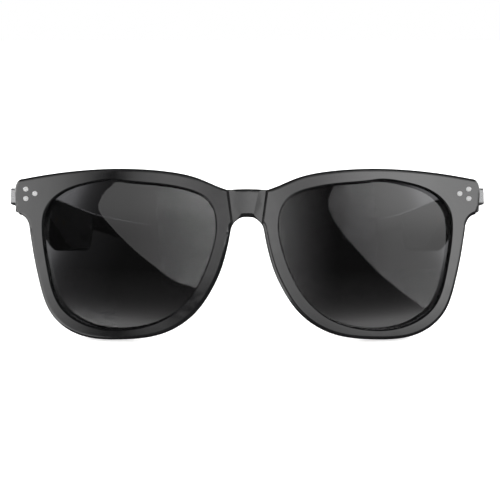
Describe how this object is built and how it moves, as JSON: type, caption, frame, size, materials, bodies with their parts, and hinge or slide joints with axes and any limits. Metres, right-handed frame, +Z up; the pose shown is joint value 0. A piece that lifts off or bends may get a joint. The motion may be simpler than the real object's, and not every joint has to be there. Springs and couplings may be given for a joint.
{
  "type": "smart glasses",
  "caption": "Thick-rimmed sunglasses with folding temples that hold speakers, batteries and charging contacts, and a press button on one temple.",
  "frame": {"origin": "centre of the object's box, on the surface that it stands on, with its temples open", "axes": "+X to the wearer's left, +Y from the front to the temple tips, +Z up"},
  "size_m": [0.1544, 0.1474, 0.0532],
  "materials": {
    "acetate": "polished black acetate",
    "temple_plastic": "polished black plastic",
    "matte_cover": "fine satin black",
    "tinted_lens": "dark grey tint, polished",
    "steel": "bright stainless",
    "hinge_metal": "nickel silver",
    "mesh_steel": "black woven mesh",
    "seal_rubber": "soft black",
    "board": "green solder mask",
    "foil": "plain foil",
    "module_plastic": "moulded black",
    "flex": "amber film",
    "gold": "gold plated",
    "magnet": "nickel plated",
    "light_pipe": "frosted clear",
    "button_plastic": "satin black"
  },
  "bodies": {
    "front": {"front_frame": "acetate", "lens_left": "tinted_lens", "rivets_left": "steel", "nose_pad_left": "acetate", "front_hinge_left": "hinge_metal", "hinge_screw_left": "steel", "lens_right": "tinted_lens", "rivets_right": "steel", "nose_pad_right": "acetate", "front_hinge_right": "hinge_metal", "hinge_screw_right": "steel"},
    "temple_left": {"temple_shell_left": "temple_plastic", "temple_tip_left": "acetate", "temple_hinge_left": "hinge_metal", "trim_plate_left": "steel", "temple_cover_left": "matte_cover", "core_wire_left": "hinge_metal", "circuit_board_left": "board", "battery_left": "foil", "speaker_left": "module_plastic", "flex_cable_left": "flex", "microphone_left": "foil", "microphone_mesh_left": "mesh_steel", "antenna_left": "flex", "touch_sensor_left": "flex", "charging_magnet_left": "magnet", "status_light_left": "light_pipe", "cover_seal_left": "seal_rubber", "cover_screws_left": "steel", "charging_pins_left": "gold", "speaker_mesh_left": "mesh_steel"},
    "temple_right": {"temple_shell_right": "temple_plastic", "temple_tip_right": "acetate", "temple_hinge_right": "hinge_metal", "trim_plate_right": "steel", "temple_cover_right": "matte_cover", "core_wire_right": "hinge_metal", "circuit_board_right": "board", "battery_right": "foil", "speaker_right": "module_plastic", "flex_cable_right": "flex", "microphone_right": "foil", "microphone_mesh_right": "mesh_steel", "antenna_right": "flex", "touch_sensor_right": "flex", "charging_magnet_right": "magnet", "status_light_right": "light_pipe", "cover_seal_right": "seal_rubber", "cover_screws_right": "steel", "charging_pins_right": "gold", "speaker_mesh_right": "mesh_steel", "button_dome": "steel"},
    "button": {"multifunction_button": "button_plastic"}
  },
  "joints": [
    {"name": "fold_left", "type": "hinge", "parent": "front", "child": "temple_left", "pos_m": [0.0662, -0.04972, 0.04098], "axis": [0, 0.2328, 0.9725], "range_deg": [0, 80]},
    {"name": "fold_right", "type": "hinge", "parent": "front", "child": "temple_right", "pos_m": [-0.0662, -0.04972, 0.04098], "axis": [0, -0.2328, -0.9725], "range_deg": [0, 64]},
    {"name": "button_press", "type": "slide", "parent": "temple_right", "child": "button", "axis": [-0.0078, -0.2997, -0.954], "range_m": [0, 0.0003], "stiffness_N_per_m": 4000, "springref_m": -0.0001}
  ]
}
